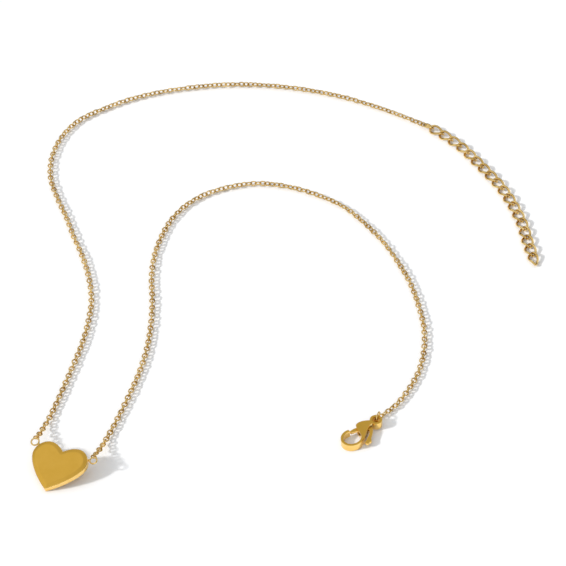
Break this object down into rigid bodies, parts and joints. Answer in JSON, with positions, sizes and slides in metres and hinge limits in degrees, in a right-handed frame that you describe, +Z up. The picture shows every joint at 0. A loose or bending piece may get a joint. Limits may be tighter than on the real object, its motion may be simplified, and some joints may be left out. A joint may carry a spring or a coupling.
{
  "type": "pendant necklace",
  "caption": "Fine chain necklace with a flat heart pendant held between two rings, a lobster clasp and a curb-link extension chain, lying flat.",
  "frame": {"origin": "centre of the bounding box of the laid-out necklace, on the surface it lies on", "axes": "+Z up from the surface; +Y along the length of the laid-out chain, from the heart and clasp towards the top of the loop; +X from the heart towards the extension"},
  "size_m": [0.1065, 0.1274, 0.0045],
  "materials": {
    "polished_gold": "polished yellow gold plating with fine handling scratches",
    "chain_gold": "polished yellow gold plating on fine drawn wire",
    "spring_steel": "thin bright spring steel"
  },
  "bodies": {
    "left_run_1": {"left_chain_1": "chain_gold"},
    "left_run_2": {"left_chain_2": "chain_gold"},
    "left_run_3": {"left_chain_3": "chain_gold"},
    "left_run_4": {"left_chain_4": "chain_gold"},
    "left_run_5": {"left_chain_5": "chain_gold"},
    "pendant": {"heart_plate": "polished_gold", "heart_left_ring": "polished_gold", "heart_right_ring": "polished_gold"},
    "right_run_1": {"right_chain_1": "chain_gold"},
    "right_run_2": {"right_chain_2": "chain_gold"},
    "right_run_3": {"right_chain_3": "chain_gold"},
    "right_run_4": {"right_chain_4": "chain_gold"},
    "right_run_5": {"right_chain_5": "chain_gold"},
    "jump_ring": {"clasp_jump_ring": "polished_gold"},
    "clasp": {"clasp_body": "polished_gold", "clasp_pivot_pin": "polished_gold", "clasp_lever_spring": "spring_steel"},
    "lever": {"clasp_lever": "polished_gold"},
    "link_01": {"extension_link_01": "polished_gold"},
    "link_02": {"extension_link_02": "polished_gold"},
    "link_03": {"extension_link_03": "polished_gold"},
    "link_04": {"extension_link_04": "polished_gold"},
    "link_05": {"extension_link_05": "polished_gold"},
    "link_06": {"extension_link_06": "polished_gold"},
    "link_07": {"extension_link_07": "polished_gold"},
    "link_08": {"extension_link_08": "polished_gold"},
    "link_09": {"extension_link_09": "polished_gold"},
    "link_10": {"extension_link_10": "polished_gold"},
    "link_11": {"extension_link_11": "polished_gold"},
    "link_12": {"extension_link_12": "polished_gold"},
    "link_13": {"extension_link_13": "polished_gold"},
    "link_14": {"extension_link_14": "polished_gold"},
    "link_15": {"extension_link_15": "polished_gold"},
    "link_16": {"extension_link_16": "polished_gold"},
    "link_17": {"extension_link_17": "polished_gold"},
    "link_18": {"extension_link_18": "polished_gold"},
    "link_19": {"extension_link_19": "polished_gold"}
  },
  "joints": [
    {"name": "pendant_swing", "type": "hinge", "parent": "left_run_1", "child": "pendant", "pos_m": [-0.0502, -0.0523, 0.00322], "axis": [-0.8914, 0.4495, -0.0571], "range_deg": [0, 90]},
    {"name": "lever_press", "type": "hinge", "parent": "clasp", "child": "lever", "pos_m": [0.01462, -0.04741, 0.00112], "axis": [-0.0388, -0.0312, 0.9988], "range_deg": [0, 18], "stiffness_Nm_per_rad": 0.002, "deforming": ["clasp_lever_spring"]},
    {"name": "clasp_swivel", "type": "hinge", "parent": "jump_ring", "child": "clasp", "pos_m": [0.01688, -0.04592, 0.00125], "axis": [0, 0, 1], "range_deg": [-30, 30]},
    {"name": "jump_ring_turn", "type": "hinge", "parent": "right_run_5", "child": "jump_ring", "pos_m": [0.01754, -0.04403, 0.00073], "axis": [0, 0, 1], "range_deg": [-20, 20]},
    {"name": "right_ring_turn", "type": "hinge", "parent": "left_run_1", "child": "right_run_1", "pos_m": [-0.0385, -0.0582, 0.00397], "axis": [0, 0, 1], "range_deg": [-10, 10]},
    {"name": "left_bend_1", "type": "hinge", "parent": "left_run_1", "child": "left_run_2", "pos_m": [-0.04183, -0.0155, 0.00073], "axis": [0, 0, 1], "range_deg": [-18, 18]},
    {"name": "left_bend_2", "type": "hinge", "parent": "left_run_2", "child": "left_run_3", "pos_m": [-0.05021, 0.0214, 0.00073], "axis": [0, 0, -1], "range_deg": [-18, 18]},
    {"name": "left_bend_3", "type": "hinge", "parent": "left_run_3", "child": "left_run_4", "pos_m": [-0.04105, 0.05473, 0.00073], "axis": [0, 0, 1], "range_deg": [-18, 18]},
    {"name": "left_bend_4", "type": "hinge", "parent": "left_run_4", "child": "left_run_5", "pos_m": [-0.00437, 0.0624, 0.00073], "axis": [0, 0, -1], "range_deg": [-18, 18]},
    {"name": "right_bend_1", "type": "hinge", "parent": "right_run_1", "child": "right_run_2", "pos_m": [-0.02921, -0.02181, 0.00073], "axis": [0, 0, -1], "range_deg": [-18, 18]},
    {"name": "right_bend_2", "type": "hinge", "parent": "right_run_2", "child": "right_run_3", "pos_m": [-0.02565, 0.01591, 0.00073], "axis": [0, 0, 1], "range_deg": [-18, 18]},
    {"name": "right_bend_3", "type": "hinge", "parent": "right_run_3", "child": "right_run_4", "pos_m": [0.00704, 0.02334, 0.00073], "axis": [0, 0, -1], "range_deg": [-18, 18]},
    {"name": "right_bend_4", "type": "hinge", "parent": "right_run_4", "child": "right_run_5", "pos_m": [0.02616, -0.00871, 0.00073], "axis": [0, 0, 1], "range_deg": [-18, 18]},
    {"name": "extension_turn_01", "type": "hinge", "parent": "left_run_5", "child": "link_01", "pos_m": [0.0304, 0.0477, 0.00095], "axis": [0, 0, 1], "range_deg": [-20, 20]},
    {"name": "extension_turn_02", "type": "hinge", "parent": "link_01", "child": "link_02", "pos_m": [0.03176, 0.04685, 0.0007], "axis": [0, 0, -1], "range_deg": [-10, 10]},
    {"name": "extension_turn_03", "type": "hinge", "parent": "link_02", "child": "link_03", "pos_m": [0.0339, 0.04503, 0.0007], "axis": [0, 0, 1], "range_deg": [-14, 14]},
    {"name": "extension_turn_04", "type": "hinge", "parent": "link_03", "child": "link_04", "pos_m": [0.03584, 0.043, 0.0007], "axis": [0, 0, -1], "range_deg": [-14, 14]},
    {"name": "extension_turn_05", "type": "hinge", "parent": "link_04", "child": "link_05", "pos_m": [0.03767, 0.04087, 0.0007], "axis": [0, 0, 1], "range_deg": [-14, 14]},
    {"name": "extension_turn_06", "type": "hinge", "parent": "link_05", "child": "link_06", "pos_m": [0.03926, 0.03855, 0.0007], "axis": [0, 0, -1], "range_deg": [-14, 14]},
    {"name": "extension_turn_07", "type": "hinge", "parent": "link_06", "child": "link_07", "pos_m": [0.04073, 0.03616, 0.0007], "axis": [0, 0, 1], "range_deg": [-14, 14]},
    {"name": "extension_turn_08", "type": "hinge", "parent": "link_07", "child": "link_08", "pos_m": [0.04215, 0.03373, 0.0007], "axis": [0, 0, -1], "range_deg": [-14, 14]},
    {"name": "extension_turn_09", "type": "hinge", "parent": "link_08", "child": "link_09", "pos_m": [0.04354, 0.03129, 0.0007], "axis": [0, 0, 1], "range_deg": [-14, 14]},
    {"name": "extension_turn_10", "type": "hinge", "parent": "link_09", "child": "link_10", "pos_m": [0.04492, 0.02884, 0.0007], "axis": [0, 0, -1], "range_deg": [-14, 14]},
    {"name": "extension_turn_11", "type": "hinge", "parent": "link_10", "child": "link_11", "pos_m": [0.04614, 0.02631, 0.0007], "axis": [0, 0, 1], "range_deg": [-14, 14]},
    {"name": "extension_turn_12", "type": "hinge", "parent": "link_11", "child": "link_12", "pos_m": [0.04722, 0.02372, 0.0007], "axis": [0, 0, -1], "range_deg": [-14, 14]},
    {"name": "extension_turn_13", "type": "hinge", "parent": "link_12", "child": "link_13", "pos_m": [0.04813, 0.02106, 0.0007], "axis": [0, 0, 1], "range_deg": [-14, 14]},
    {"name": "extension_turn_14", "type": "hinge", "parent": "link_13", "child": "link_14", "pos_m": [0.04892, 0.01836, 0.0007], "axis": [0, 0, -1], "range_deg": [-14, 14]},
    {"name": "extension_turn_15", "type": "hinge", "parent": "link_14", "child": "link_15", "pos_m": [0.04961, 0.01564, 0.0007], "axis": [0, 0, 1], "range_deg": [-14, 14]},
    {"name": "extension_turn_16", "type": "hinge", "parent": "link_15", "child": "link_16", "pos_m": [0.05013, 0.01288, 0.0007], "axis": [0, 0, -1], "range_deg": [-14, 14]},
    {"name": "extension_turn_17", "type": "hinge", "parent": "link_16", "child": "link_17", "pos_m": [0.05047, 0.01009, 0.0007], "axis": [0, 0, 1], "range_deg": [-14, 14]},
    {"name": "extension_turn_18", "type": "hinge", "parent": "link_17", "child": "link_18", "pos_m": [0.05088, 0.00731, 0.0007], "axis": [0, 0, -1], "range_deg": [-14, 14]},
    {"name": "extension_turn_19", "type": "hinge", "parent": "link_18", "child": "link_19", "pos_m": [0.05133, 0.00454, 0.0007], "axis": [0, 0, 1], "range_deg": [-14, 14]}
  ]
}
